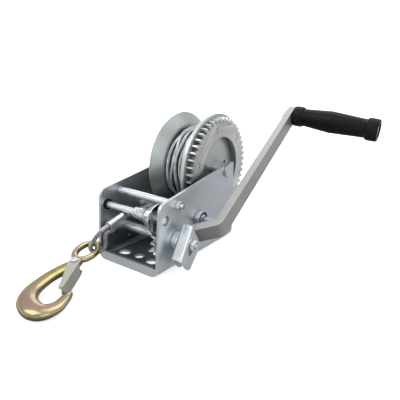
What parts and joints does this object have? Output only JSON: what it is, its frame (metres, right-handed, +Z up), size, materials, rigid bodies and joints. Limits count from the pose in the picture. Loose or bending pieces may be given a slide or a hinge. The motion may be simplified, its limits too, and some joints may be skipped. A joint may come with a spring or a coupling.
{
  "type": "boat trailer winch",
  "caption": "Geared hand winch for a boat trailer: sheet frame, cable drum, two-stage gear train, reversible pawl, long crank with black grip, wire rope with latched hook.",
  "frame": {"origin": "underside of the frame's base at its front edge, midway between the side plates", "axes": "+X along the shafts towards the crank, -Y towards the boat (rope side), +Z up"},
  "size_m": [0.2389, 0.3494, 0.1722],
  "materials": {
    "zinc_plate": "bluish zinc plating on sheet steel",
    "bright_zinc": "bright zinc plating on turned steel",
    "gear_steel": "greenish grey plated steel",
    "arm_steel": "satin brownish grey plated bar",
    "yellow_zinc": "yellow passivated zinc plating over forged steel",
    "wire_rope": "galvanised stranded wire",
    "black_plastic": "glossy black moulding"
  },
  "bodies": {
    "frame": {"frame": "zinc_plate", "tie_tube": "bright_zinc", "tie_bolt": "bright_zinc", "tie_nut": "bright_zinc", "pawl_rod": "bright_zinc", "pawl_rod_bush_left": "black_plastic", "pawl_rod_bush_right": "black_plastic", "drive_bush_left": "bright_zinc", "drive_bush_right": "bright_zinc", "intermediate_bush_left": "bright_zinc", "intermediate_bush_right": "bright_zinc", "drum_axle": "zinc_plate", "drum_axle_nut": "bright_zinc", "rope_lead": "wire_rope", "ferrule": "bright_zinc", "rope_eye": "wire_rope"},
    "drum": {"drum_flange_left": "zinc_plate", "drum_flange_right": "gear_steel", "drum_barrel": "zinc_plate", "drum_hub_sleeve": "zinc_plate", "ring_gear": "gear_steel", "ring_rivet_1": "bright_zinc", "ring_rivet_2": "bright_zinc", "ring_rivet_3": "bright_zinc", "ring_rivet_4": "bright_zinc", "ring_rivet_5": "bright_zinc", "ring_rivet_6": "bright_zinc", "rope_pack": "wire_rope"},
    "intermediate": {"intermediate_shaft": "bright_zinc", "intermediate_pinion": "gear_steel", "intermediate_gear": "gear_steel", "intermediate_circlip": "black_plastic"},
    "drive": {"drive_shaft": "bright_zinc", "drive_pinion": "gear_steel", "ratchet_wheel": "gear_steel", "crank_clip": "bright_zinc", "crank_arm": "arm_steel", "crank_nut": "bright_zinc", "grip_bolt": "bright_zinc", "grip_nut": "bright_zinc"},
    "grip": {"grip": "black_plastic"},
    "pawl": {"pawl": "bright_zinc", "pawl_spring": "bright_zinc"},
    "hook": {"hook": "yellow_zinc", "latch_rivet": "bright_zinc"},
    "hook_latch": {"hook_latch": "yellow_zinc"}
  },
  "joints": [
    {"name": "drum_spin", "type": "hinge", "parent": "frame", "child": "drum", "pos_m": [0, 0.1246, 0.0917], "axis": [1, 0, 0], "continuous": true},
    {"name": "intermediate_spin", "type": "hinge", "parent": "frame", "child": "intermediate", "pos_m": [0, 0.06778, 0.04668], "axis": [1, 0, 0], "continuous": true},
    {"name": "crank_spin", "type": "hinge", "parent": "frame", "child": "drive", "pos_m": [0, 0.0292, 0.0321], "axis": [1, 0, 0], "continuous": true},
    {"name": "grip_spin", "type": "hinge", "parent": "drive", "child": "grip", "pos_m": [0.0823, 0.22227, 0.15893], "axis": [0.9982, 0, -0.0593], "continuous": true},
    {"name": "pawl_swing", "type": "hinge", "parent": "frame", "child": "pawl", "pos_m": [0.028, 0.0097, 0.0585], "axis": [1, 0, 0], "range_deg": [-14, 14]},
    {"name": "hook_swing", "type": "hinge", "parent": "frame", "child": "hook", "pos_m": [-0.02621, -0.01399, 0.02199], "axis": [0.8856, -0.447, -0.1262], "range_deg": [-40, 0]},
    {"name": "latch_swing", "type": "hinge", "parent": "hook", "child": "hook_latch", "pos_m": [-0.01738, -0.04934, 0.01552], "axis": [-0.0565, 0.1661, -0.9845], "range_deg": [0, 25], "stiffness_Nm_per_rad": 0.02, "springref_deg": -20.05}
  ],
  "couplings": [
    {"joint": "intermediate_spin", "follows": "drum_spin", "ratio": -4.8},
    {"joint": "crank_spin", "follows": "drum_spin", "ratio": 8.4}
  ]
}
